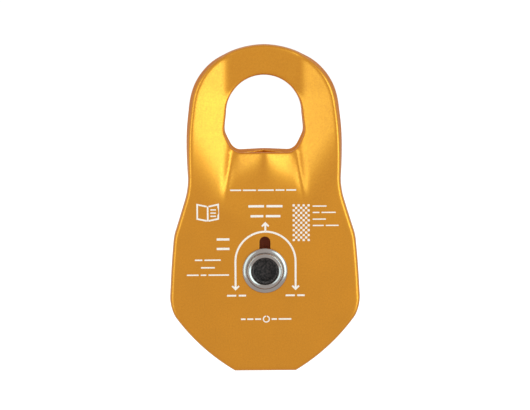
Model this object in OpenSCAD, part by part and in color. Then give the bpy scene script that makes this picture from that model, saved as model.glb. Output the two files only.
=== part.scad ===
// Swing-cheek rope pulley.
// The origin is the centre of the sheave. +Z points to the carabiner eye, the axle lies
// along Y, and the front cheek is on the -Y side.

/* [Rope and sheave] */
// Largest rope that the groove takes
rope_d = 13; // [11:0.5:13]
// Radius of the groove's floor
tread_r = 10.5; // [10:0.1:11.5]
// Outer radius of the sheave's flanges
flange_r = 16.5; // [15:0.1:17.5]
// Width of the sheave over its flanges
sheave_w = 15.2; // [14.6:0.1:15.2]

/* [Cheek plates] */
// Thickness of the aluminium sheet
sheet = 3; // [2.5:0.1:3]
// Gap between the inner faces of the cheeks beside the sheave
cheek_gap = 16.6; // [16.6:0.1:18]
// Gap between the cheeks where they meet at the eye
eye_gap = 0.4; // [0.3:0.1:1]
// Width of the keyhole slot above the axle
slot_w = 3.1; // [2.5:0.05:3.5]
// Height of the slot's top above the axle's centre
slot_top = 9.65; // [9:0.05:10.2]

/* [Carabiner eye] */
// Height of the centre of the eye's round top
eye_z = 44.3; // [43.5:0.1:45]
// Radius of the eye's round top
eye_r = 10.65; // [10:0.05:11]
// Height of the eye's flat bottom edge
eye_floor_z = 33.4; // [33:0.1:34.5]

/* [Outline] */
// Height of the head's top
head_top_z = 63.65; // [63:0.05:64.5]
// Half width of the neck
neck_half = 21.6; // [21.3:0.05:21.8]
// Greatest half width, at the hips
hip_half = 27; // [26.3:0.1:27.5]
// Half width of the flat foot
foot_half = 8.75; // [7:0.05:10]
// Height of the flat foot
foot_z = -29.2; // [-29.5:0.05:-28]

/* [Axle] */
// Radius of the rivet's shank
rivet_r = 4.4; // [4:0.1:4.5]
// Outer radius of the sleeve that the bushes and cheeks turn on
sleeve_r = 5.3; // [5.1:0.05:5.4]
// Outer radius of the washers under the rivet's ends
washer_r = 6.4; // [6:0.05:6.5]
// Running clearance, on the radius and between faces
run = 0.05; // [0.03:0.01:0.08]

/* [Hidden] */
$fn = 96;

inner_y = cheek_gap / 2;
outer_y = inner_y + sheet;
sleeve_half = outer_y + run;

// Carabiner eye: its sides flare a little below the round top, then close in by
// diagonals to a flat floor.
eye_flare = 0.55;
eye_flare_z = eye_z - 5.2;
eye_floor_half = 7.4;
eye_step = 6;
eye_right_side = concat([for (a = [90 : -eye_step : 0])
                            [eye_r * cos(a), eye_z + eye_r * sin(a)]],
                        [[eye_r + eye_flare, eye_flare_z],
                         [eye_r - 0.2, eye_floor_z + 3.7],
                         [eye_floor_half + 2.1, eye_floor_z + 1.9],
                         [eye_floor_half + 1.15, eye_floor_z + 0.8],
                         [eye_floor_half, eye_floor_z]]);

// Relief of a cheek. depth() is how far the outer face lies behind the flat lower body.
// The neck bends back at bend_z. Each arm tilts with its outer rim forward, the band over
// the eye lies full_depth back, and the tongue under the eye is a low ridge between two
// grooves.
bend_z = 21.3;
arm_top_z = 48.3;
band_half = 10.6;
arm_x = 11.4;
arm_tilt = 0.35;
ridge_slope = 0.17;
ridge_flare = 0.019;
full_depth = inner_y - eye_gap / 2;
arm_slope = (full_depth - arm_tilt * (arm_x - band_half)) / (arm_top_z - bend_z);

function arm_depth(u, z) = arm_slope * (z - bend_z) - arm_tilt * (u - arm_x);
function band_depth(u) = full_depth - arm_tilt * max(0, u - band_half);
function ridge_depth(u, z) = (z - bend_z) * (ridge_slope + ridge_flare * u);
function inner_depth(u, z) = z < arm_top_z ? ridge_depth(u, z) : full_depth;
function depth(u, z) = max(0, min(arm_depth(u, z), band_depth(u), inner_depth(u, z)));

// The relief is sampled on a grid that is a little larger than the outline.
beyond = 3;
half_columns = [3.5, 7, 9.3, band_half, arm_x, 14, 17, 19.5, 22.2, hip_half + beyond];
columns = concat([for (i = [len(half_columns) - 1 : -1 : 0]) -half_columns[i]], [0],
                 half_columns);
rows = [foot_z - beyond, bend_z, 25.6, 29.5, 33.6, 37.5, 41, 45, arm_top_z,
        head_top_z + beyond];

// Points of a circular arc from p to q, without q. Its middle stands off the chord by
// rise, on the right of the way from p to q.
function arc(p, q, rise, steps) =
    let (chord = q - p,
         half = norm(chord) / 2,
         side = [chord[1], -chord[0]] / norm(chord),
         r = (half * half + rise * rise) / (2 * rise),
         centre = (p + q) / 2 + side * (rise - r),
         sweep = 2 * asin(half / r))
    [for (i = [0 : steps - 1])
        let (a = sweep * (i / steps - 0.5))
        centre + r * (side * cos(a) + chord / norm(chord) * sin(a))];

// Right-hand outline of a cheek, from the head down to the foot.
head_top = [0, head_top_z];
crown = [12.1, head_top_z - 3.2];
temple = [21.1, head_top_z - 15.85];
chest = [neck_half + 0.33, 36.5];
neck = [neck_half, 26.2];
flare = [22.4, 20.4];
shoulder = [25.1, 11.8];
side_top = [25.9, 8.4];
hip_top = [hip_half, -6.6];
hip_bottom = [hip_half - 1.25, -13.4];
foot = [foot_half, foot_z];
right_side = concat(arc(head_top, crown, -0.75, 6),
                    arc(crown, temple, -1.8, 8),
                    arc(temple, chest, -0.2, 4),
                    arc(chest, neck, -0.08, 3),
                    arc(neck, flare, 0.2, 3),
                    [flare],
                    arc(shoulder, side_top, -0.1, 2),
                    arc(side_top, hip_top, -0.1, 3),
                    arc(hip_top, hip_bottom, -0.53, 4),
                    arc(hip_bottom, foot, -1.2, 6),
                    [foot]);

// Sheave. The groove is a little wider than the largest rope.
groove_r = rope_d / 2 + 0.2;
sheave_half = sheave_w / 2;
thrust_r = 10.4;
thrust_inner = sheave_half + 0.15;
bush_r = 6.6;
bush_flange_r = 8.3;
bush_flange_t = 0.8;
bush_end = thrust_inner - run;

// Rivet and the washers under its ends.
washer_t = 1;
lip_r = 5;
lip_bore_r = 3.75;
lip_half_t = 0.45;
rivet_bore_r = 3.2;
rivet_bore_depth = 4;
head_flange_r = 5.2;
head_t = 0.9;
washer_y = sleeve_half + washer_t;

// A solid turned about the axle, from an outline in [radius, Y].
module turned()
    rotate([-90, 0, 0])
        rotate_extrude()
            children();

// A symmetric outline from its right-hand side, whose first point lies on the axis.
module mirrored_outline(points)
    polygon(concat(points,
                   [for (i = [len(points) - 1 : -1 : 1]) [-points[i][0], points[i][1]]]));

module outline_2d() mirrored_outline(right_side);

module eye_2d() mirrored_outline(eye_right_side);

// Keyhole slot: a round top and straight sides that run into the axle bore.
module slot_2d() {
    translate([0, slot_top - slot_w / 2]) circle(d = slot_w);
    translate([-slot_w / 2, 0]) square([slot_w, slot_top - slot_w / 2]);
}

// Extrudes an outline drawn in [X, Z] through both cheeks.
module through() {
    reach = outer_y + beyond;
    rotate([90, 0, 0])
        translate([0, 0, -reach])
            linear_extrude(2 * reach)
                children();
}

// The joggled sheet of the front cheek, before it is blanked to its outline.
module pressed_sheet() {
    nc = len(columns);
    nr = len(rows);
    layer = nc * nr;
    points = [for (y = [-outer_y, -inner_y])
                for (z = rows)
                    for (x = columns)
                        [x, y + depth(abs(x), z), z]];
    cells = [for (r = [0 : nr - 2])
                for (c = [0 : nc - 2])
                    [r * nc + c, (r + 1) * nc + c, (r + 1) * nc + c + 1, r * nc + c + 1]];
    function split(q, mirrored) =
        mirrored ? [[q[0], q[1], q[3]], [q[1], q[2], q[3]]]
                 : [[q[0], q[1], q[2]], [q[0], q[2], q[3]]];
    function raised(t) = [t[2] + layer, t[1] + layer, t[0] + layer];
    front = [for (q = cells) for (t = split(q, points[q[0]][0] < 0)) t];
    back = [for (t = front) raised(t)];
    low = [for (c = [0 : nc - 2]) [c, c + 1, c + 1 + layer, c + layer]];
    top_row = (nr - 1) * nc;
    high = [for (c = [0 : nc - 2])
               [top_row + c + 1, top_row + c, top_row + c + layer, top_row + c + 1 + layer]];
    left = [for (r = [0 : nr - 2])
               [(r + 1) * nc, r * nc, r * nc + layer, (r + 1) * nc + layer]];
    last = nc - 1;
    right = [for (r = [0 : nr - 2])
                [r * nc + last, (r + 1) * nc + last, (r + 1) * nc + last + layer,
                 r * nc + last + layer]];
    polyhedron(points, concat(front, back, low, high, left, right));
}

module cheek() {
    difference() {
        intersection() {
            pressed_sheet();
            through() outline_2d();
        }
        through() eye_2d();
        through() slot_2d();
        turned() translate([0, -outer_y - beyond]) square([sleeve_r + run, 2 * outer_y]);
    }
}

module front_cheek() color("goldenrod") cheek();

module rear_cheek() color("goldenrod") mirror([0, 1, 0]) cheek();

module sheave() {
    color("lightgray")
        turned() {
            difference() {
                translate([bush_r, -sheave_half]) square([flange_r - bush_r, sheave_w]);
                translate([tread_r + groove_r, 0]) circle(r = groove_r);
                for (side = [-1, 1])
                    translate([bush_r, side * sheave_half - bush_flange_t])
                        square([bush_flange_r - bush_r, 2 * bush_flange_t]);
            }
        }
}

// A flanged bush pressed in from the front; the two bushes meet in the middle.
module bush() {
    turned() {
        translate([sleeve_r + run, -bush_end]) square([bush_r - sleeve_r - run, bush_end]);
        translate([sleeve_r + run, -bush_end])
            square([bush_flange_r - sleeve_r - run, bush_flange_t + bush_end - sheave_half]);
    }
}

module front_bush() color("saddlebrown") bush();

module rear_bush() color("saddlebrown") mirror([0, 1, 0]) bush();

module axle_sleeve() {
    color("gray")
        turned() translate([rivet_r, -sleeve_half]) square([sleeve_r - rivet_r, 2 * sleeve_half]);
}

// Semi-tubular rivet. Its front end is rolled over the front washer, and its rear end is
// a low factory head.
module axle_rivet() {
    color("silver")
        turned() {
            difference() {
                union() {
                    translate([0, -washer_y]) square([rivet_r, 2 * washer_y]);
                    translate([0, washer_y]) square([head_flange_r - head_t / 2, head_t]);
                    translate([head_flange_r - head_t / 2, washer_y + head_t / 2])
                        circle(d = head_t);
                    translate([lip_bore_r, -washer_y - lip_half_t * 2])
                        square([lip_r - lip_half_t - lip_bore_r, lip_half_t * 2]);
                    translate([lip_r - lip_half_t, -washer_y - lip_half_t])
                        circle(r = lip_half_t);
                }
                translate([0, -washer_y - 1])
                    square([rivet_bore_r, rivet_bore_depth + 1]);
            }
        }
}

// A washer with a rounded outer rim, against the front end of the sleeve.
module axle_washer() {
    turned() {
        translate([rivet_r, -washer_y]) square([washer_r - washer_t / 2 - rivet_r, washer_t]);
        translate([washer_r - washer_t / 2, -washer_y + washer_t / 2]) circle(d = washer_t);
    }
}

module front_axle_washer() color("silver") axle_washer();

module rear_axle_washer() color("silver") mirror([0, 1, 0]) axle_washer();

module thrust_washer() {
    turned()
        translate([sleeve_r, -inner_y + run])
            square([thrust_r - sleeve_r, inner_y - run - thrust_inner]);
}

module front_thrust_washer() color("brown") thrust_washer();

module rear_thrust_washer() color("brown") mirror([0, 1, 0]) thrust_washer();

front_cheek();
rear_cheek();
sheave();
front_bush();
rear_bush();
axle_sleeve();
axle_rivet();
front_axle_washer();
rear_axle_washer();
front_thrust_washer();
rear_thrust_washer();
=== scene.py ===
"""Swing-cheek rope pulley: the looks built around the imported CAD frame.

Everything is in metres in the frame's own axes: +Z up to the carabiner eye, Y along the
axle, and the front cheek on the -Y side. Dimensions are written in mm and scaled by MM.
"""

import math
from collections import namedtuple

import bmesh
import bpy
from mathutils import Matrix, Vector
from mathutils.geometry import delaunay_2d_cdt


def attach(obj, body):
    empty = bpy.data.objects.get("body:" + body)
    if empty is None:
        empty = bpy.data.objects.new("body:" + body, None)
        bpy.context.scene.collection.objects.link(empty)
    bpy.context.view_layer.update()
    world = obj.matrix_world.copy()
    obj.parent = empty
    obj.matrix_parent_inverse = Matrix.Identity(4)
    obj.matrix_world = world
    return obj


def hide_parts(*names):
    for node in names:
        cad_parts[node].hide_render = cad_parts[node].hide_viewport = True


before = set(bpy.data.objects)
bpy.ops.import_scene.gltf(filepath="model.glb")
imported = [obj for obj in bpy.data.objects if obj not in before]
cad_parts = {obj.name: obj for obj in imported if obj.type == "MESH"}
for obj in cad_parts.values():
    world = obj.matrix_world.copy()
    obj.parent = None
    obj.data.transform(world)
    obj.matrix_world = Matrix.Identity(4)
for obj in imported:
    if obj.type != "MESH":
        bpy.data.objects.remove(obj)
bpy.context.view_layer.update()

MM = 0.001

# ---------------------------------------------------------------- dimensions, mm
SHEET = 3.0
CHEEK_INNER = 8.3
CHEEK_OUTER = CHEEK_INNER + SHEET
EYE_GAP = 0.4

# Relief of a cheek: how far its outer face lies behind the flat lower body. The arms
# beside the eye tilt and bow, and the band over it is level.
BEND_Z = 21.3
ARM_TOP_Z = 48.3
BAND_HALF = 10.6
ARM_X = 11.4
ARM_TILT = 0.35
ARM_MIDDLE = 16.5
ARM_BOW = -0.004
FULL_DEPTH = CHEEK_INNER - EYE_GAP / 2
ARM_SLOPE = (FULL_DEPTH - ARM_TILT * (ARM_X - BAND_HALF)) / (ARM_TOP_Z - BEND_Z)

# The low ridge under the eye. Its crest sharpens towards CREST_Z, and above the eye's
# floor it sinks away by RIDGE_SINK.
RIDGE_SLOPE = 0.17
RIDGE_FLARE = 0.036
CREST_LOW = 3.0
CREST_HIGH = 1.0
CREST_Z = 33.0
RIDGE_SINK = 12.0
RIDGE_SINK_FROM = 40.0
RIDGE_SINK_TO = 50.0

# Widths over which the parts of the relief run into each other.
BAND_BLEND = 1.5
ARM_BLEND = 0.9
RIDGE_BLEND = 0.7
BODY_BLEND = 2.8

# The relief's direction is taken over this step, so that the inner face doesn't fold
# where the outer face has a tight bend.
SLOPE_STEP = 1.6

# The two V grooves that fan down from the eye's lower corners.
GROOVE_DEPTH = 0.75
GROOVE_REACH = 1.6
GROOVE_START_Z = BEND_Z - 3.5
GROOVE_FULL_Z = 29.0
GROOVE_FADE_FROM = 36.0
GROOVE_FADE_TO = 41.0
GROOVE_LOW_X = 11.0
GROOVE_HIGH_X = 9.3
GROOVE_RUN = 12.0
GROOVE_LOW_WIDTH = 1.0
GROOVE_HIGH_WIDTH = 1.5
# Share of the groove that no longer shows on the inner face.
GROOVE_LOSS = 0.5

# Outline of a cheek, right-hand side.
HEAD_TOP = (0.0, 63.65)
CROWN = (12.1, 60.45)
TEMPLE = (21.1, 47.8)
CHEST = (21.93, 36.5)
NECK = (21.6, 26.2)
FLARE = (22.4, 20.4)
SHOULDER = (25.1, 11.8)
SIDE = (25.9, 8.4)
HIP_TOP = (27.0, -6.6)
HIP_BOTTOM = (25.75, -13.4)
FOOT = (8.75, -29.2)

# Carabiner eye.
EYE_Z = 44.3
EYE_R = 10.65
EYE_FLOOR_Z = 33.4

# Keyhole: the axle bore and the slot above it, with a fillet between them.
BORE_R = 5.35
SLOT_HALF = 1.55
SLOT_TOP = 9.65
KEYHOLE_FILLET = 0.5

# Finish of a blanked edge: the rounding at the outer and at the inner face, the strip
# that joins it to the face, the vertex spacing, and how far the wall leans out.
Edge = namedtuple("Edge", "front_r back_r blend spacing lean")
OUTLINE_EDGE = Edge(front_r=1.0, back_r=0.15, blend=1.7, spacing=0.7, lean=0.2)
EYE_EDGE = Edge(front_r=0.8, back_r=0.2, blend=1.5, spacing=0.6, lean=0.0)
KEYHOLE_EDGE = Edge(front_r=0.12, back_r=0.12, blend=0.4, spacing=0.3, lean=0.0)

# Axle stack.
WASHER_FACE = CHEEK_OUTER + 0.05
WASHER_R = 6.42
RIVET_R = 4.4
RIVET_SEAT = WASHER_FACE + 1.0
LIP_TOP = RIVET_SEAT + 0.9
RIVET_BORE_R = 3.2
RECESS_R = 3.7

# Sheave.
FLANGE_R = 16.5
TREAD_R = 10.5
SHEAVE_HALF = 7.6
ROPE_ARC_R = 6.7
LIP_INSET = 0.35
SHEAVE_BORE_R = 6.6
COUNTERBORE_R = 8.3
COUNTERBORE_DEPTH = 0.8

# ---------------------------------------------------------------- mesh settings, mm
# Step along the curves of an outline, before it is resampled.
FINE = 0.25
# Corners of an outline that turn by more degrees than this stay where they are.
KEPT_CORNER = 25.0
# Hexagonal grid of the cheeks' faces: pitch, row height over pitch, and its distance
# from an edge's strip.
GRID_PITCH = 0.75
HEX_ROW = 0.866
GRID_MARGIN = 0.5
# Distances below this count as zero.
NEAR_ZERO = 1e-6
WELD = 1e-7


# ---------------------------------------------------------------- small maths
def mix(a, b, t):
    return a + (b - a) * t


def smooth_min(a, b, width):
    h = max(width - abs(a - b), 0.0) / width
    return min(a, b) - h * h * width / 4


def smooth_max(a, b, width):
    return -smooth_min(-a, -b, width)


def smooth_step(value, low, high):
    t = min(1.0, max(0.0, (value - low) / (high - low)))
    return t * t * (3 - 2 * t)


def on_circle(centre, radius, degrees):
    angle = math.radians(degrees)
    return (centre[0] + radius * math.cos(angle), centre[1] + radius * math.sin(angle))


def arc(p, q, rise):
    """Points of an arc from p to q, without q; its middle stands rise right of the chord."""
    p, q = Vector(p), Vector(q)
    chord = q - p
    half = chord.length / 2
    along = chord.normalized()
    side = Vector((along.y, -along.x))
    radius = (half * half + rise * rise) / (2 * rise)
    centre = (p + q) / 2 + side * (rise - radius)
    sweep = 2 * math.asin(half / radius)
    steps = math.ceil(chord.length / FINE)
    angles = [sweep * (i / steps - 0.5) for i in range(steps)]
    return [tuple(centre + radius * (side * math.cos(a) + along * math.sin(a)))
            for a in angles]


# ---------------------------------------------------------------- relief of a cheek
def groove(u, z):
    """Depth of the V grooves below the relief, u mm from the middle line."""
    t = smooth_step(z, GROOVE_START_Z, GROOVE_FULL_Z)
    centre = mix(GROOVE_LOW_X, GROOVE_HIGH_X, (z - BEND_Z) / GROOVE_RUN)
    width = mix(GROOVE_LOW_WIDTH, GROOVE_HIGH_WIDTH, t)
    fade = 1.0 - smooth_step(z, GROOVE_FADE_FROM, GROOVE_FADE_TO)
    d = abs(u - centre) / width
    return GROOVE_DEPTH * t * fade * max(0.0, 1.0 - d / GROOVE_REACH) ** 2


def relief(x, z):
    """Depth of the outer face behind the flat body at (x, z)."""
    soft = mix(CREST_LOW, CREST_HIGH, smooth_step(z, BEND_Z, CREST_Z))
    u = math.sqrt(x * x + soft * soft) - soft
    arm = ARM_SLOPE * (z - BEND_Z) - ARM_TILT * (abs(x) - ARM_X)
    arm -= (ARM_BOW * (max(abs(x), ARM_X) - ARM_MIDDLE) ** 2
            - ARM_BOW * (ARM_X - ARM_MIDDLE) ** 2)
    band = FULL_DEPTH - ARM_TILT * smooth_max(abs(x) - BAND_HALF, 0.0, BAND_BLEND)
    ridge = (z - BEND_Z) * (RIDGE_SLOPE + RIDGE_FLARE * u)
    ridge += RIDGE_SINK * smooth_step(z, RIDGE_SINK_FROM, RIDGE_SINK_TO)
    depth = smooth_min(smooth_min(arm, band, ARM_BLEND), ridge, RIDGE_BLEND)
    return smooth_max(depth, 0.0, BODY_BLEND)


def face_point(x, z):
    """The front cheek's outer face at (x, z), and the way through the sheet there."""
    step = SLOPE_STEP
    slope_x = (relief(x + step, z) - relief(x - step, z)) / (2 * step)
    slope_z = (relief(x, z + step) - relief(x, z - step)) / (2 * step)
    through = Vector((-slope_x, 1.0, -slope_z)).normalized()
    return Vector((x, -CHEEK_OUTER + relief(x, z), z)), through


# ---------------------------------------------------------------- outlines
def kept_corners(points):
    """Places in a closed outline where it turns sharply, or its start if there are none."""
    corners = []
    for i, point in enumerate(points):
        before = Vector(point) - Vector(points[i - 1])
        after = Vector(points[(i + 1) % len(points)]) - Vector(point)
        if math.degrees(before.angle(after)) > KEPT_CORNER:
            corners.append(i)
    return corners or [0]


def resample(points, spacing):
    """Closed outline at an even spacing; its sharp corners stay."""
    count = len(points)
    corners = kept_corners(points)
    result = []
    for n, start in enumerate(corners):
        stop = corners[(n + 1) % len(corners)]
        if stop <= start:
            stop += count
        run = [Vector(points[i % count]) for i in range(start, stop + 1)]
        length = sum((b - a).length for a, b in zip(run, run[1:]))
        parts = max(2, round(length / spacing))
        gone, k = 0.0, 0
        for i in range(parts):
            target = length * i / parts
            while k < len(run) - 2 and gone + (run[k + 1] - run[k]).length < target:
                gone += (run[k + 1] - run[k]).length
                k += 1
            leg = (run[k + 1] - run[k]).length
            result.append(tuple(run[k].lerp(run[k + 1], (target - gone) / leg)))
    return result


def mirrored(right):
    """A closed outline from its right-hand side, given from the top to the bottom."""
    left = [(-x, z) for x, z in reversed(right) if x > NEAR_ZERO]
    return right + left


def cheek_outline():
    """Arcs down the right-hand side; the third value is each arc's rise."""
    stretches = ((HEAD_TOP, CROWN, -0.75), (CROWN, TEMPLE, -1.8), (TEMPLE, CHEST, -0.2),
                 (CHEST, NECK, -0.08), (NECK, FLARE, 0.2), (FLARE, SHOULDER, 0.02),
                 (SHOULDER, SIDE, -0.1), (SIDE, HIP_TOP, -0.1), (HIP_TOP, HIP_BOTTOM, -0.53),
                 (HIP_BOTTOM, FOOT, -1.2))
    right = []
    for start, stop, rise in stretches:
        right += arc(start, stop, rise)
    return mirrored(right + [FOOT])


def eye_outline():
    """A half circle over sides that widen a little, and a flat floor with round corners."""
    top = [on_circle((0.0, EYE_Z), EYE_R, a) for a in range(90, 0, -1)]
    low = EYE_FLOOR_Z
    side = [(EYE_R, EYE_Z), (EYE_R + 0.3, EYE_Z - 2.5), (11.15, low + 6.4)]
    corner = [(11.1, low + 5.5), (10.85, low + 4.6), (10.1, low + 3.0), (9.5, low + 1.85),
              (9.0, low + 1.1), (8.35, low + 0.45), (7.6, low + 0.08), (7.0, low)]
    return mirrored(top + side + corner)


def keyhole_outline():
    slot = [on_circle((0.0, SLOT_TOP - SLOT_HALF), SLOT_HALF, a) for a in range(90, -1, -6)]
    fillet_x = SLOT_HALF + KEYHOLE_FILLET
    fillet_z = math.sqrt((BORE_R + KEYHOLE_FILLET) ** 2 - fillet_x * fillet_x)
    turn = math.degrees(math.atan2(fillet_z, fillet_x))
    joint = [on_circle((fillet_x, fillet_z), KEYHOLE_FILLET, 180 + turn * k / 8)
             for k in range(9)]
    bore = [on_circle((0.0, 0.0), BORE_R, turn - 2 * k)
            for k in range(1, 120) if turn - 2 * k > -90]
    return mirrored(slot + joint + bore + [(0.0, -BORE_R)])


def inward_normals(loop, metal_inside):
    """Directions into the metal at each vertex of a closed outline, longer at corners."""
    area = sum(a[0] * b[1] - b[0] * a[1] for a, b in zip(loop, loop[1:] + loop[:1]))
    sign = 1.0 if (area > 0) == metal_inside else -1.0
    result = []
    for i, point in enumerate(loop):
        before = (Vector(point) - Vector(loop[i - 1])).normalized()
        after = (Vector(loop[(i + 1) % len(loop)]) - Vector(point)).normalized()
        n1 = Vector((-before.y, before.x)) * sign
        n2 = Vector((-after.y, after.x)) * sign
        both = (n1 + n2).normalized()
        result.append(both / max(0.75, both.dot(n1)))
    return result


def inside(point, loop):
    x, z = point
    hit = False
    for (x1, z1), (x2, z2) in zip(loop, loop[1:] + loop[:1]):
        if (z1 > z) != (z2 > z) and x < x1 + (z - z1) * (x2 - x1) / (z2 - z1):
            hit = not hit
    return hit


def distance(point, loop):
    """Distance from a point to the nearest vertex of a densely sampled outline."""
    return min((point[0] - x) ** 2 + (point[1] - z) ** 2 for x, z in loop) ** 0.5


# ---------------------------------------------------------------- meshes
def finish_mesh(name, bm, body, material, smooth_angle=40.0):
    bmesh.ops.recalc_face_normals(bm, faces=bm.faces)
    mesh = bpy.data.meshes.new(name)
    for face in bm.faces:
        face.smooth = True
    bm.to_mesh(mesh)
    bm.free()
    piece = bpy.data.objects.new(name, mesh)
    bpy.context.collection.objects.link(piece)
    mesh.materials.append(material)
    mesh.set_sharp_from_angle(angle=math.radians(smooth_angle))
    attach(piece, body)
    return piece


def cheek_vertex(bm, side, x, z, depth):
    """A vertex of a cheek, depth mm into the sheet from the outer face at (x, z)."""
    point, through = face_point(x, z)
    point.y += groove(abs(x), z) * (1 - GROOVE_LOSS * depth / SHEET)
    place = point + through * depth
    return bm.verts.new((place.x * MM, -side * place.y * MM, place.z * MM))


def wall_line(loop, edge, metal_inside):
    """Where a blanked wall meets the outer face.

    The wall stands square to the sheet, so this line lies inside the silhouette where
    an arm is tilted.
    """
    if not metal_inside:
        return loop
    return [(x - face_point(x, z)[1].x * (SHEET - edge.back_r), z) for x, z in loop]


def edge_profile(radius, edge, lean):
    """(distance in from the wall, depth below the face) from the strip down to the wall."""
    turns = [math.radians(a) for a in range(0, 91, 18)]
    return [(edge.blend, 0.0)] + [(radius * (1 - math.sin(a)) + lean,
                                   radius * (1 - math.cos(a))) for a in turns]


def edge_strip(bm, side, walls, normals, edge):
    """Quads around a blanked edge, from the outer face to the inner one.

    Returns the rows of vertices where it meets the two faces, and the numbers of the
    wall's own faces.
    """
    def rows(profile, start, way):
        return [[cheek_vertex(bm, side, x + n.x * d, z + n.y * d, start + way * e)
                 for (x, z), n in zip(walls, normals)] for d, e in profile]

    front = rows(edge_profile(edge.front_r, edge, edge.lean), 0.0, 1)
    back = rows(edge_profile(edge.back_r, edge, 0.0), SHEET, -1)
    strip = front + back[::-1]
    wall_faces = []
    for upper, lower in zip(strip, strip[1:]):
        for i in range(len(walls)):
            j = (i + 1) % len(walls)
            if upper is front[-1]:
                wall_faces.append(len(bm.faces))
            bm.faces.new((upper[i], upper[j], lower[j], lower[i]))
    return front[0], back[0], wall_faces


def grid_points(limits):
    """Points of a hexagonal grid in the metal, clear of the edges' strips."""
    points = []
    row = 0
    z = FOOT[1]
    while z < HEAD_TOP[1]:
        x = -HIP_TOP[0] + (GRID_PITCH / 2 if row % 2 else 0.0)
        while x < HIP_TOP[0]:
            if all(inside((x, z), rim) == metal_inside
                   and distance((x, z), rim) > GRID_MARGIN for rim, metal_inside in limits):
                points.append((x, z))
            x += GRID_PITCH
        z += GRID_PITCH * HEX_ROW
        row += 1
    return points


def fill_faces(bm, points, edges, front, back, limits):
    """Triangles between the edges' strips, the same on both faces of the sheet."""
    places, _, faces, origins = delaunay_2d_cdt(
        [Vector(p) for p in points], edges, [], 0, WELD)[:4]
    for face in faces:
        centre = sum((places[i] for i in face), Vector((0, 0))) / len(face)
        if all(inside(centre, rim) == metal_inside for rim, metal_inside in limits):
            ids = [origins[i][0] for i in face]
            bm.faces.new([front[i] for i in ids])
            bm.faces.new([back[i] for i in reversed(ids)])


def build_cheek(name, body, material, wall_material, side):
    """A joggled cheek plate as one closed mesh. side is -1 for the front, +1 for the rear."""
    bm = bmesh.new()
    wall_faces, points, edges, front, back, limits = [], [], [], [], [], []
    for outline, edge, metal_inside in ((cheek_outline(), OUTLINE_EDGE, True),
                                        (eye_outline(), EYE_EDGE, False),
                                        (keyhole_outline(), KEYHOLE_EDGE, False)):
        walls = wall_line(resample(outline, edge.spacing), edge, metal_inside)
        normals = inward_normals(walls, metal_inside)
        front_row, back_row, strip_walls = edge_strip(bm, side, walls, normals, edge)
        front += front_row
        back += back_row
        wall_faces += strip_walls
        first, count = len(points), len(walls)
        edges += [(first + i, first + (i + 1) % count) for i in range(count)]
        rim = [(x + n.x * edge.blend, z + n.y * edge.blend)
               for (x, z), n in zip(walls, normals)]
        points += rim
        limits.append((rim, metal_inside))
    for x, z in grid_points(limits):
        points.append((x, z))
        front.append(cheek_vertex(bm, side, x, z, 0.0))
        back.append(cheek_vertex(bm, side, x, z, SHEET))
    fill_faces(bm, points, edges, front, back, limits)
    piece = finish_mesh(name, bm, body, material)
    # The walls take the second material, whose darker, redder colour on the cheeks is painted
    # shade.
    piece.data.materials.append(wall_material)
    for index in wall_faces:
        piece.data.polygons[index].material_index = 1
    return piece


def lathe(name, outline, body, material, segments=160, smooth_angle=35.0):
    """A closed solid turned about the axle from a closed (radius, y) outline."""
    bm = bmesh.new()
    rings = []
    for radius, y in outline:
        if radius < NEAR_ZERO:
            rings.append([bm.verts.new((0, y * MM, 0))])
            continue
        rings.append([bm.verts.new((radius * MM * math.cos(math.tau * k / segments), y * MM,
                                    radius * MM * math.sin(math.tau * k / segments)))
                      for k in range(segments)])
    for upper, lower in zip(rings, rings[1:] + rings[:1]):
        if len(upper) == 1 and len(lower) == 1:
            continue
        for k in range(segments):
            n = (k + 1) % segments
            corners = []
            for vert in (upper[k % len(upper)], upper[n % len(upper)],
                         lower[n % len(lower)], lower[k % len(lower)]):
                if vert not in corners:
                    corners.append(vert)
            bm.faces.new(corners)
    return finish_mesh(name, bm, body, material, smooth_angle)


# ---------------------------------------------------------------- materials
# Most values of a noise texture lie between these two.
NOISE_LOW = 0.3
NOISE_HIGH = 0.7

# Height of the grain in the bump, mm.
FINE_GRAIN = 0.02
COARSE_GRAIN = 0.06


def new_material(name):
    material = bpy.data.materials.new(name)
    material.use_nodes = True
    tree = material.node_tree
    shader = tree.nodes["Principled BSDF"]
    return material, tree, shader


def noise(tree, scale, detail=4.0, rough=0.6):
    coords = tree.nodes.new("ShaderNodeTexCoord")
    node = tree.nodes.new("ShaderNodeTexNoise")
    node.inputs["Scale"].default_value = scale
    node.inputs["Detail"].default_value = detail
    node.inputs["Roughness"].default_value = rough
    tree.links.new(coords.outputs["Object"], node.inputs["Vector"])
    return node.outputs["Fac"]


def cloud_noise(tree):
    """Broad, faint unevenness over a whole piece."""
    return noise(tree, scale=90.0, detail=2.0, rough=0.5)


def ramp(tree, source, low, high, at_low, at_high):
    """Maps a value from low..high to at_low..at_high, clamped."""
    node = tree.nodes.new("ShaderNodeMapRange")
    node.inputs["From Min"].default_value = low
    node.inputs["From Max"].default_value = high
    node.inputs["To Min"].default_value = at_low
    node.inputs["To Max"].default_value = at_high
    tree.links.new(source, node.inputs["Value"])
    return node.outputs["Result"]


def two_tone(tree, source, low, high, dark, light):
    """A colour that runs from dark to light while the source runs from low to high."""
    tone = ramp(tree, source, low, high, 0.0, 1.0)
    node = tree.nodes.new("ShaderNodeMix")
    node.data_type = "RGBA"
    node.inputs["A"].default_value = (*dark, 1)
    node.inputs["B"].default_value = (*light, 1)
    tree.links.new(tone, node.inputs["Factor"])
    return node.outputs["Result"]


def add_bump(tree, shader, source, strength, height_mm):
    node = tree.nodes.new("ShaderNodeBump")
    node.inputs["Strength"].default_value = strength
    node.inputs["Distance"].default_value = height_mm * MM
    tree.links.new(source, node.inputs["Height"])
    tree.links.new(node.outputs["Normal"], shader.inputs["Normal"])


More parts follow.
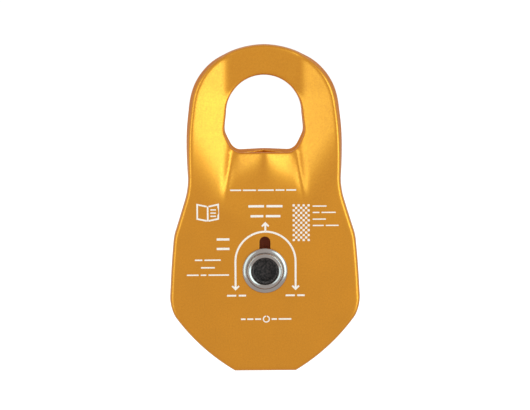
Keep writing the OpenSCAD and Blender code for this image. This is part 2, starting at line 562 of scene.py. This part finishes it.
def metal(name, dark, light, rough, rough_spread, grain_scale, bump):
    material, tree, shader = new_material(name)
    shader.inputs["Metallic"].default_value = 1.0
    grain = noise(tree, grain_scale)
    colour = two_tone(tree, cloud_noise(tree), NOISE_LOW, NOISE_HIGH, dark, light)
    tree.links.new(colour, shader.inputs["Base Color"])
    tree.links.new(ramp(tree, grain, NOISE_LOW, NOISE_HIGH, rough - rough_spread,
                        rough + rough_spread), shader.inputs["Roughness"])
    add_bump(tree, shader, grain, bump, FINE_GRAIN)
    return material


def gold_material():
    """Satin anodised sheet: a fine blasted grain that shows in colour and in bump."""
    material, tree, shader = new_material("gold_anodised")
    shader.inputs["Metallic"].default_value = 1.0
    grain = noise(tree, scale=2300.0, detail=3.0, rough=0.7)
    cloud_tone = ramp(tree, cloud_noise(tree), NOISE_LOW, NOISE_HIGH, 0.94, 1.0)
    colour = two_tone(tree, grain, NOISE_LOW, NOISE_HIGH, dark=(0.88, 0.31, 0.006),
                      light=(1.0, 0.40, 0.014))
    shade = tree.nodes.new("ShaderNodeVectorMath")
    shade.operation = "SCALE"
    tree.links.new(colour, shade.inputs[0])
    tree.links.new(cloud_tone, shade.inputs["Scale"])
    tree.links.new(shade.outputs["Vector"], shader.inputs["Base Color"])
    tree.links.new(ramp(tree, grain, NOISE_LOW, NOISE_HIGH, 0.42, 0.32),
                   shader.inputs["Roughness"])
    add_bump(tree, shader, grain, 0.25, FINE_GRAIN)
    shader.inputs["Coat Weight"].default_value = 0.8
    shader.inputs["Coat Roughness"].default_value = 0.32
    return material


def shaded_gold_edge_material():
    """The blanked edges: rougher than the face, with the gold's colour made darker and redder as
    painted shade.
    """
    return metal("gold_edge_shaded", dark=(0.80, 0.25, 0.012), light=(0.92, 0.32, 0.024),
                 rough=0.42, rough_spread=0.08, grain_scale=3000.0, bump=0.25)


def recess_shade_material():
    """The bottom of the rivet's bore: rough and speckled, its near-black colour painted shade of
    the deep bore.
    """
    material, tree, shader = new_material("rivet_recess_painted_shade")
    shader.inputs["Roughness"].default_value = 0.75
    grain = noise(tree, scale=1700.0)
    tree.links.new(two_tone(tree, grain, 0.4, 0.68, dark=(0.016, 0.012, 0.011),
                            light=(0.09, 0.068, 0.062)), shader.inputs["Base Color"])
    add_bump(tree, shader, grain, 0.5, COARSE_GRAIN)
    return material


def polymer_material():
    material, tree, shader = new_material("red_brown_polymer")
    grain = noise(tree, scale=3000.0)
    tree.links.new(two_tone(tree, grain, 0.35, 0.65, dark=(0.15, 0.03, 0.008),
                            light=(0.2, 0.042, 0.012)), shader.inputs["Base Color"])
    shader.inputs["Roughness"].default_value = 0.6
    shader.inputs["Specular IOR Level"].default_value = 0.2
    add_bump(tree, shader, grain, 0.2, FINE_GRAIN)
    return material


def ink_material():
    material, tree, shader = new_material("pale_marking")
    grain = noise(tree, scale=4000.0)
    tree.links.new(two_tone(tree, grain, 0.35, 0.65, dark=(0.60, 0.51, 0.44),
                            light=(0.70, 0.61, 0.54)), shader.inputs["Base Color"])
    shader.inputs["Roughness"].default_value = 0.6
    return material


def floor_material():
    material, tree, shader = new_material("pale_floor")
    shader.inputs["Base Color"].default_value = (0.9, 0.9, 0.9, 1)
    shader.inputs["Roughness"].default_value = 0.9
    shader.inputs["Emission Color"].default_value = (1, 1, 1, 1)
    shader.inputs["Emission Strength"].default_value = 0.25
    return material


gold = gold_material()
# Darker, redder gold for the blanked walls: painted shade.
gold_edge_shaded = shaded_gold_edge_material()
steel = metal("bright_steel", dark=(0.46, 0.405, 0.37), light=(0.57, 0.505, 0.465),
              rough=0.2, rough_spread=0.05, grain_scale=2600.0, bump=0.06)
# Near-black material for the rivet's bore: painted shade.
recess_shade = recess_shade_material()
polymer = polymer_material()
ink = ink_material()
sheave_metal = metal("sheave_aluminium", dark=(0.55, 0.56, 0.58), light=(0.66, 0.67, 0.69),
                     rough=0.3, rough_spread=0.06, grain_scale=2500.0, bump=0.1)
bronze = metal("sintered_bronze", dark=(0.30, 0.15, 0.07), light=(0.38, 0.2, 0.1),
               rough=0.5, rough_spread=0.1, grain_scale=3500.0, bump=0.3)
dark_steel = metal("ground_steel", dark=(0.3, 0.3, 0.3), light=(0.38, 0.38, 0.38),
                   rough=0.3, rough_spread=0.08, grain_scale=3000.0, bump=0.1)

# ---------------------------------------------------------------- cheeks
front_cheek = build_cheek("front_cheek_plate", "front_side", gold, gold_edge_shaded, -1)
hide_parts("front_cheek")

rear_cheek = build_cheek("rear_cheek_plate", "rear_side", gold, gold_edge_shaded, 1)
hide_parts("rear_cheek")

# ---------------------------------------------------------------- markings, mm
# How far a patch of ink stands proud of the face and reaches into it, its longest edge,
# and how far the marking's own heights lie above their place on the cheek.
INK_LIFT = 0.025
INK_SINK = 0.05
INK_STEP = 0.6
MARK_DROP = 0.35

# Load arc. It is drawn in pieces that leave a gap of twice ARC_SEAM degrees.
ARC_CENTRE = (0.14, 2.93)
ARC_R = 8.5
ARC_STROKE = 0.54
ARC_PIECE = 30
ARC_STEPS = 5
ARC_SEAM = 0.1
STRAND_TIP_Z = -5.33
ANCHOR_TIP_Z = 14.2

# Open arrow head: half width, shaft length inside it, and the ends of its barbs.
WING = 1.13
WING_TOP = 1.12
BARB_TOP = 1.45
BARB_X = WING - 0.33
NOTCH = 0.97

# Open book.
BOOK_LEFT = -19.0
BOOK_MIDDLE = -16.05
BOOK_RIGHT = -13.1
BOOK_LOW = 14.6
BOOK_HIGH = 19.2
BOOK_DIP = 0.55
BOOK_GUTTER = 0.3
BOOK_STROKE = 0.45
BOOK_LINES = (15.9, 16.8, 17.7)

# Checker field.
LATTICE_CELL = 0.7
LATTICE_GAP = 0.08
LATTICE_COLUMNS = 7
LATTICE_ROWS = 15
LATTICE_X = 7.85
LATTICE_Z = 9.0

# Rope sign.
SIGN_Z = -13.6
SIGN_CENTRE_X = 0.3
SIGN_R = 0.85
SIGN_STROKE = 0.32
SIGN_DASH = 0.45
SIGN_SPANS = ((-6.9, -5.6), (-5.1, -3.4), (-2.9, -1.2), (1.8, 3.3), (3.8, 7.4))

# Dashes in the place of words: the row's height on the cheek, the dash's height, and
# where each dash starts and stops.
DASH_ROWS = ((23.1, 0.4, ((-9.7, -6.6), (-6.1, -2.4), (-1.9, 2.6), (3.1, 5.6), (6.1, 8.9))),
             (18.6, 0.65, ((-4.6, -0.2), (0.5, 5.0))),
             (15.8, 0.65, ((-4.0, -0.4), (0.3, 4.4))),
             (3.4, 0.4, ((-19.8, -17.7), (-17.1, -12.5))),
             (1.24, 0.4, ((-18.1, -14.2),)),
             (-0.87, 0.4, ((-22.1, -18.8), (-18.2, -16.6), (-16.0, -10.2))),
             (-6.8, 0.5, ((-10.8, -8.2), (-7.5, -5.4), (5.8, 8.4), (9.1, 11.2))),
             (18.6, 0.35, ((13.5, 17.4),)),
             (16.8, 0.35, ((13.5, 15.4), (16.0, 20.0))),
             (14.9, 0.35, ((13.5, 17.2),)),
             (13.1, 0.35, ((13.5, 16.6), (17.2, 20.8))),
             (9.3, 0.65, ((-13.6, -10.0),)),
             (6.6, 0.65, ((-13.6, -10.0),)))


def patch(bm, corners):
    """A thin closed patch of ink on the front face, from a simple polygon."""
    outline = []
    for start, stop in zip(corners, corners[1:] + corners[:1]):
        start, stop = Vector(start), Vector(stop)
        parts = max(1, math.ceil((stop - start).length / INK_STEP))
        outline += [tuple(start.lerp(stop, k / parts)) for k in range(parts)]
    upper, lower = [], []
    for x, z in outline:
        z -= MARK_DROP
        point, through = face_point(x, z)
        point.y += groove(abs(x), z)
        for depth, ring in ((-INK_LIFT, upper), (INK_SINK, lower)):
            ring.append(bm.verts.new((point + through * depth) * MM))
    bm.faces.new(upper)
    bm.faces.new(lower[::-1])
    for i in range(len(outline)):
        j = (i + 1) % len(outline)
        bm.faces.new((upper[i], lower[i], lower[j], upper[j]))


def ribbon(points, width):
    """Outline of a mitred stroke of the given width along an open line of points."""
    left, right = [], []
    for i, point in enumerate(points):
        p = Vector(point)
        legs = []
        if i > 0:
            legs.append((p - Vector(points[i - 1])).normalized())
        if i < len(points) - 1:
            legs.append((Vector(points[i + 1]) - p).normalized())
        normals = [Vector((-leg.y, leg.x)) for leg in legs]
        both = sum(normals, Vector((0, 0))).normalized()
        shift = both * (width / 2 / both.dot(normals[0]))
        left.append(tuple(p + shift))
        right.append(tuple(p - shift))
    return left + right[::-1]


def bar(bm, x1, x2, z, height):
    patch(bm, [(x1, z - height / 2), (x2, z - height / 2), (x2, z + height / 2),
               (x1, z + height / 2)])


def arrow_head(tip, up):
    """Corners of an open arrow head, from one side of its shaft around to the other."""
    x, z = tip
    half = ARC_STROKE / 2
    corners = [(half, NOTCH), (BARB_X, BARB_TOP), (WING, WING_TOP), (0.0, 0.0),
               (-WING, WING_TOP), (-BARB_X, BARB_TOP), (-half, NOTCH)]
    way = -1 if up else 1
    return [(x + way * dx, z + way * dz) for dx, dz in corners]


def load_arc(bm):
    """Rope path over the sheave with the pull of both strands, and the anchor's pull up."""
    x, z = ARC_CENTRE
    half = ARC_STROKE / 2
    gap = 0.01
    for first in range(0, 180, ARC_PIECE):
        turns = [math.radians(mix(first + ARC_SEAM, first + ARC_PIECE - ARC_SEAM,
                                  k / ARC_STEPS)) for k in range(ARC_STEPS + 1)]
        patch(bm, ribbon([(x - ARC_R * math.cos(a), z + ARC_R * math.sin(a))
                          for a in turns], ARC_STROKE))
    for leg_x in (x - ARC_R, x + ARC_R):
        patch(bm, arrow_head((leg_x, STRAND_TIP_Z), False)
              + [(leg_x - half, z - gap), (leg_x + half, z - gap)])
    shaft_z = z + (ARC_R + half) + 2 * gap
    patch(bm, arrow_head((x, ANCHOR_TIP_Z), True)
          + [(x + half, shaft_z), (x - half, shaft_z)])


def open_book(bm):
    """Plain open-book outline that stands for the instructions."""
    top = BOOK_HIGH - BOOK_DIP
    for outer, inner in ((BOOK_LEFT, BOOK_MIDDLE - BOOK_GUTTER),
                         (BOOK_RIGHT, BOOK_MIDDLE + BOOK_GUTTER)):
        patch(bm, ribbon([(inner, top), (outer, BOOK_HIGH), (outer, BOOK_LOW + BOOK_DIP),
                          (inner, BOOK_LOW)], BOOK_STROKE))
    patch(bm, ribbon([(BOOK_MIDDLE, BOOK_LOW - 0.15), (BOOK_MIDDLE, top)], BOOK_STROKE))
    for z in BOOK_LINES:
        bar(bm, BOOK_MIDDLE + 0.75, BOOK_RIGHT - 0.65, z, 0.35)


def plain_lattice(bm):
    """A regular checker field where the real part carries a code."""
    mark = LATTICE_CELL - LATTICE_GAP
    for row in range(LATTICE_ROWS):
        for column in range(row % 2, LATTICE_COLUMNS, 2):
            x = LATTICE_X + LATTICE_CELL * column
            z = LATTICE_Z + LATTICE_CELL * row
            bar(bm, x, x + LATTICE_CELL - LATTICE_GAP, z, mark)


def rope_sign(bm):
    """A ring between dashes, where the rope range stands."""
    ring = [on_circle((SIGN_CENTRE_X, SIGN_Z), SIGN_R, a) for a in range(95, 446, 18)]
    patch(bm, ribbon(ring, SIGN_STROKE))
    for x1, x2 in SIGN_SPANS:
        bar(bm, x1, x2, SIGN_Z, SIGN_DASH)


def front_marks():
    """Generic marking on the front cheek; rows of plain dashes take the place of words."""
    bm = bmesh.new()
    load_arc(bm)
    open_book(bm)
    plain_lattice(bm)
    rope_sign(bm)
    for z, height, spans in DASH_ROWS:
        for x1, x2 in spans:
            bar(bm, x1, x2, z, height)
    return finish_mesh("front_marks", bm, "front_side", ink)


marks = front_marks()


# ---------------------------------------------------------------- sheave and axle
def washer_outline(y_side):
    """Washer under a rivet end: domed, with a shallow step around the rivet's lip."""
    rises = ((RIVET_R, 0.0), (WASHER_R - 0.2, 0.0), (WASHER_R - 0.03, 0.14), (WASHER_R, 0.3),
             (WASHER_R - 0.05, 0.46), (WASHER_R - 0.2, 0.62), (WASHER_R - 0.45, 0.77),
             (WASHER_R - 0.75, 0.89), (WASHER_R - 1.0, 0.96), (WASHER_R - 1.17, 0.97),
             (WASHER_R - 1.27, 0.9), (WASHER_R - 1.32, 0.7), (RIVET_R, 0.7))
    return [(r, (WASHER_FACE + rise) * y_side) for r, rise in rises]


def sheave_outline():
    """Flanges with rounded rims, the rope groove, and a shallow counterbore each side."""
    half = SHEAVE_HALF
    seat = -half + COUNTERBORE_DEPTH
    centre_r = TREAD_R + ROPE_ARC_R
    lip = math.degrees(math.acos((centre_r - FLANGE_R + LIP_INSET) / ROPE_ARC_R))
    rope_groove = []
    for k in range(33):
        a = math.radians(mix(-lip, lip, k / 32))
        rope_groove.append((centre_r - ROPE_ARC_R * math.cos(a), ROPE_ARC_R * math.sin(a)))
    lower = [(SHEAVE_BORE_R, seat), (COUNTERBORE_R, seat), (COUNTERBORE_R, -half),
             (FLANGE_R - 0.45, -half), (FLANGE_R - 0.12, -half + 0.13),
             (FLANGE_R, -half + 0.45), (FLANGE_R - 0.1, -half + 0.8)]
    upper = [(r, -y) for r, y in reversed(lower)]
    return lower + rope_groove + upper


def rivet_outline():
    """Rolled lip in front, blind bore, low domed factory head behind."""
    seat, top = RIVET_SEAT, LIP_TOP
    neck = (RIVET_R, -seat + 0.28)
    lip = [(4.88, -seat + 0.28), (5.0, -seat), (5.03, -seat - 0.35), (4.99, -seat - 0.6),
           (4.9, -seat - 0.78), (4.78, -seat - 0.88), (4.62, -top), (4.45, -top + 0.04),
           (4.25, -top + 0.11), (4.05, -top + 0.19), (3.9, -top + 0.29),
           (3.81, -top + 0.46), (3.76, -top + 0.9), (RECESS_R, -top + 1.5),
           (RIVET_BORE_R, -seat + 1.2)]
    bore = [(RIVET_BORE_R, -seat + 3.8), (3.0, -seat + 4.0), (0.0, -seat + 4.0)]
    head = [(0.0, seat + 0.9), (2.5, seat + 0.88), (4.0, seat + 0.78), (4.8, seat + 0.6),
            (5.05, seat + 0.42), (5.12, seat + 0.2), (5.08, seat - 0.05), (4.95, seat - 0.28),
            (RIVET_R, seat - 0.28)]
    return [neck] + lip + bore + head


sheave = lathe("sheave_wheel_turned", sheave_outline(), "sheave_wheel", sheave_metal)
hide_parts("sheave")

front_washer = lathe("front_washer_domed", washer_outline(-1), "rear_side", steel)
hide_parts("front_axle_washer")

rear_washer = lathe("rear_washer_domed", washer_outline(1), "rear_side", steel)
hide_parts("rear_axle_washer")

rivet = lathe("axle_rivet_rolled", rivet_outline(), "rear_side", steel)
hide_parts("axle_rivet")
# Faces within the bore's mouth take the recess material: its near-black colour is painted shade.
rivet.data.materials.append(recess_shade)
for face in rivet.data.polygons:
    middle = face.center
    if math.hypot(middle.x, middle.z) < RECESS_R * MM and middle.y < 0:
        face.material_index = 1

for node, material in (("axle_sleeve", dark_steel), ("front_bush", bronze), ("rear_bush", bronze),
                       ("front_thrust_washer", polymer), ("rear_thrust_washer", polymer)):
    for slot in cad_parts[node].material_slots:
        slot.material = material

# ---------------------------------------------------------------- stage, light, camera
FLOOR_Z = -0.09
FLOOR_HALF = 3.0

# Soft boxes on both sides of the object. Azimuth 0 is in front, and positive is right.
LIGHT_COLOUR = (0.66, 1.02, 1.12)
LIGHT_AIM = Vector((0, 0, 0.02))
BOX_WIDTH = 0.5
BOX_HEIGHT = 1.1
BOX_DISTANCE = 0.9
BOX_ELEVATION = 10
KEY_AZIMUTH = 42
KEY_POWER = 4.2
FILL_AZIMUTH = -46
FILL_POWER = 2.35

# The world as reflections see it, and as every other ray does.
WORLD_REFLECTED = 0.6
WORLD_SEEN = 1.05

# Camera a little to the left of the plate's normal and above it.
CAMERA_AZIMUTH = -0.6
CAMERA_ELEVATION = 6.5
CAMERA_ROLL = -0.3
CAMERA_DISTANCE = 0.4
CAMERA_CLIP = 0.01
FRAME_WIDTH = 0.1496
SENSOR_WIDTH = 36.0
LOOK_AT = Vector((0.0001, -0.0100, 0.0185))


def direction(azimuth, elevation):
    """The way out from the object, in degrees right of the front and above the level."""
    az, el = math.radians(azimuth), math.radians(elevation)
    return Vector((math.sin(az) * math.cos(el), -math.cos(az) * math.cos(el), math.sin(el)))


def build_floor():
    bm = bmesh.new()
    corners = [bm.verts.new((sx * FLOOR_HALF, sy * FLOOR_HALF, FLOOR_Z))
               for sx, sy in ((-1, -1), (1, -1), (1, 1), (-1, 1))]
    bm.faces.new(corners)
    mesh = bpy.data.meshes.new("floor")
    bm.to_mesh(mesh)
    bm.free()
    plane = bpy.data.objects.new("floor", mesh)
    bpy.context.collection.objects.link(plane)
    mesh.materials.append(floor_material())
    plane.visible_glossy = False
    return plane


def place_light(name, azimuth, power):
    """A soft box that faces the object."""
    way = direction(azimuth, BOX_ELEVATION)
    data = bpy.data.lights.new(name, "AREA")
    data.shape = "RECTANGLE"
    data.size = BOX_WIDTH
    data.size_y = BOX_HEIGHT
    data.energy = power
    data.color = LIGHT_COLOUR
    lamp = bpy.data.objects.new(name, data)
    bpy.context.collection.objects.link(lamp)
    lamp.location = LIGHT_AIM + way * BOX_DISTANCE
    lamp.rotation_euler = (-way).to_track_quat("-Z", "Y").to_euler()


def build_world():
    """A white world, dimmer in reflections so that the metal keeps its shading."""
    world = bpy.data.worlds.new("studio")
    bpy.context.scene.world = world
    world.use_nodes = True
    tree = world.node_tree
    reflected = tree.nodes["Background"]
    seen = tree.nodes.new("ShaderNodeBackground")
    for background, strength in ((reflected, WORLD_REFLECTED), (seen, WORLD_SEEN)):
        background.inputs["Color"].default_value = (1, 1, 1, 1)
        background.inputs["Strength"].default_value = strength
    path = tree.nodes.new("ShaderNodeLightPath")
    mixer = tree.nodes.new("ShaderNodeMixShader")
    tree.links.new(path.outputs["Is Glossy Ray"], mixer.inputs["Fac"])
    tree.links.new(seen.outputs["Background"], mixer.inputs[1])
    tree.links.new(reflected.outputs["Background"], mixer.inputs[2])
    tree.links.new(mixer.outputs["Shader"], tree.nodes["World Output"].inputs["Surface"])


def build_camera():
    away = direction(CAMERA_AZIMUTH, CAMERA_ELEVATION)
    data = bpy.data.cameras.new("camera")
    camera = bpy.data.objects.new("camera", data)
    bpy.context.collection.objects.link(camera)
    camera.location = LOOK_AT + away * CAMERA_DISTANCE
    turn = (-away).to_track_quat("-Z", "Y").to_matrix().to_4x4()
    roll = Matrix.Rotation(math.radians(CAMERA_ROLL), 4, "Z")
    camera.rotation_euler = (turn @ roll).to_euler()
    data.sensor_width = SENSOR_WIDTH
    data.lens = SENSOR_WIDTH * CAMERA_DISTANCE / FRAME_WIDTH
    data.clip_start = CAMERA_CLIP
    bpy.context.scene.camera = camera


floor = build_floor()
place_light("key_right", KEY_AZIMUTH, KEY_POWER)
place_light("fill_left", FILL_AZIMUTH, FILL_POWER)
build_world()
build_camera()
bpy.context.scene.view_settings.view_transform = "Standard"
